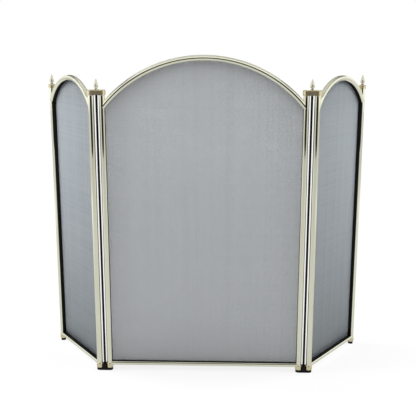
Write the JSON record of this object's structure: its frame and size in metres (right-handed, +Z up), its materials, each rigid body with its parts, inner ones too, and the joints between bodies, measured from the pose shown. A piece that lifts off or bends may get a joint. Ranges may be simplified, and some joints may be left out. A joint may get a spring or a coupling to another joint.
{
  "type": "fireplace screen",
  "caption": "Free-standing folding fireplace screen with an arched wire-mesh centre panel and narrow arched side wings in slim brass tube frames, joined by double-pivot hinge links.",
  "frame": {"origin": "on the floor, in the middle of the screen's box seen from above, with the wings folded back as shown", "axes": "+X along the centre panel to the right as seen from the front, +Y from the front to the back, +Z up"},
  "size_m": [0.7294, 0.1816, 0.702],
  "materials": {
    "brass": "polished",
    "edging": "semi-gloss black",
    "mesh": "satin dark grey woven wire",
    "tie_rod": "semi-gloss black",
    "foot": "moulded black",
    "bush": "natural nylon"
  },
  "bodies": {
    "centre_panel": {"centre_post_left": "brass", "centre_post_right": "brass", "centre_arch": "brass", "centre_rail": "brass", "centre_mesh": "mesh", "centre_edging": "edging", "centre_edging_bottom": "edging", "centre_ferrule_left": "brass", "centre_ferrule_right": "brass", "centre_bush_top_left": "bush", "centre_bush_top_right": "bush", "centre_bush_foot_left": "bush", "centre_bush_foot_right": "bush"},
    "left_link": {"left_cap": "brass", "left_finial": "brass", "left_tie_rod": "tie_rod", "left_foot": "foot"},
    "right_link": {"right_cap": "brass", "right_finial": "brass", "right_tie_rod": "tie_rod", "right_foot": "foot"},
    "left_wing": {"left_wing_inner_post": "brass", "left_wing_outer_post": "brass", "left_wing_arch": "brass", "left_wing_rail": "brass", "left_wing_mesh": "mesh", "left_wing_edging": "edging", "left_wing_edging_bottom": "edging", "left_wing_inner_ferrule": "brass", "left_wing_outer_ferrule": "brass", "left_wing_outer_foot": "foot", "left_wing_outer_cap": "brass", "left_wing_outer_finial": "brass", "left_wing_bush_top": "bush", "left_wing_bush_foot": "bush"},
    "right_wing": {"right_wing_inner_post": "brass", "right_wing_outer_post": "brass", "right_wing_arch": "brass", "right_wing_rail": "brass", "right_wing_mesh": "mesh", "right_wing_edging": "edging", "right_wing_edging_bottom": "edging", "right_wing_inner_ferrule": "brass", "right_wing_outer_ferrule": "brass", "right_wing_outer_foot": "foot", "right_wing_outer_cap": "brass", "right_wing_outer_finial": "brass", "right_wing_bush_top": "bush", "right_wing_bush_foot": "bush"}
  },
  "joints": [
    {"name": "left_link_swing", "type": "hinge", "parent": "centre_panel", "child": "left_link", "pos_m": [-0.2135, -0.08252, 0.3], "axis": [0, 0, -1], "range_deg": [-90, 90]},
    {"name": "left_wing_swing", "type": "hinge", "parent": "left_link", "child": "left_wing", "pos_m": [-0.2365, -0.08252, 0.3], "axis": [0, 0, -1], "range_deg": [-144, 36]},
    {"name": "right_link_swing", "type": "hinge", "parent": "centre_panel", "child": "right_link", "pos_m": [0.2135, -0.08252, 0.3], "axis": [0, 0, 1], "range_deg": [-90, 90]},
    {"name": "right_wing_swing", "type": "hinge", "parent": "right_link", "child": "right_wing", "pos_m": [0.2365, -0.08252, 0.3], "axis": [0, 0, 1], "range_deg": [-144, 36]}
  ]
}
